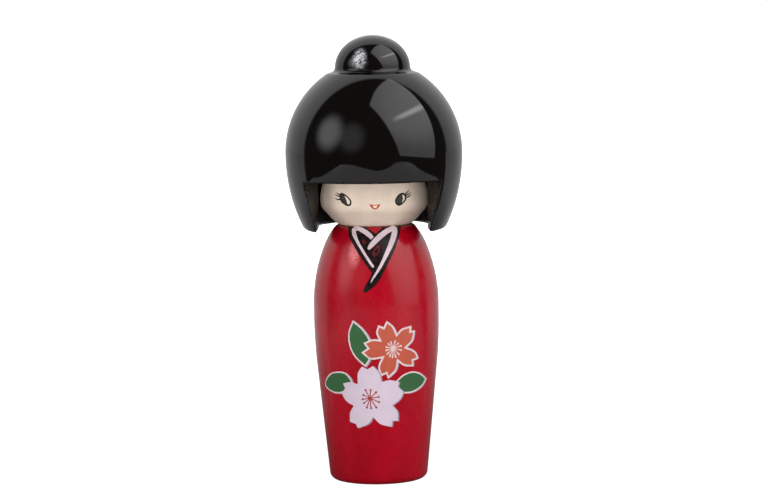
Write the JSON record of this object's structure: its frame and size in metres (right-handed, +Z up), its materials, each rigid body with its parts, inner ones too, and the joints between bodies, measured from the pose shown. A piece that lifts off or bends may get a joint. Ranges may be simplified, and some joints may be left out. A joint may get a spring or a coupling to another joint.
{
  "type": "kokeshi doll",
  "caption": "Turned wooden kokeshi doll with a head that turns on a peg, a black bob of hair with a bun, and a red body with flower transfers.",
  "frame": {"origin": "centre of the flat base, on the surface that the doll stands on", "axes": "+Z up along the turning axis, -Y the way the face looks, +X to the right of someone who faces the doll"},
  "size_m": [0.0596, 0.0594, 0.1497],
  "materials": {
    "red_lacquer": "red lacquer on turned wood, semi-gloss",
    "cream_lacquer": "cream paint on turned wood, satin",
    "black_lacquer": "black lacquer on turned wood, high gloss",
    "bare_wood": "bare turned hardwood",
    "white_print": "printed transfer under clear lacquer",
    "coral_print": "printed transfer under clear lacquer",
    "green_print": "printed transfer under clear lacquer"
  },
  "bodies": {
    "torso": {"body": "red_lacquer", "transfer_white_blossom": "white_print", "transfer_coral_blossom": "coral_print", "transfer_leaf_upper": "green_print", "transfer_leaf_left": "green_print", "transfer_leaf_right": "green_print"},
    "head_unit": {"neck_peg": "bare_wood", "head": "cream_lacquer", "hair_shell": "black_lacquer", "bun": "black_lacquer", "crown_peg": "bare_wood"}
  },
  "joints": [
    {"name": "head_turn", "type": "hinge", "parent": "torso", "child": "head_unit", "pos_m": [0, 0, 0.0863], "axis": [0, 0, 1], "continuous": true}
  ]
}
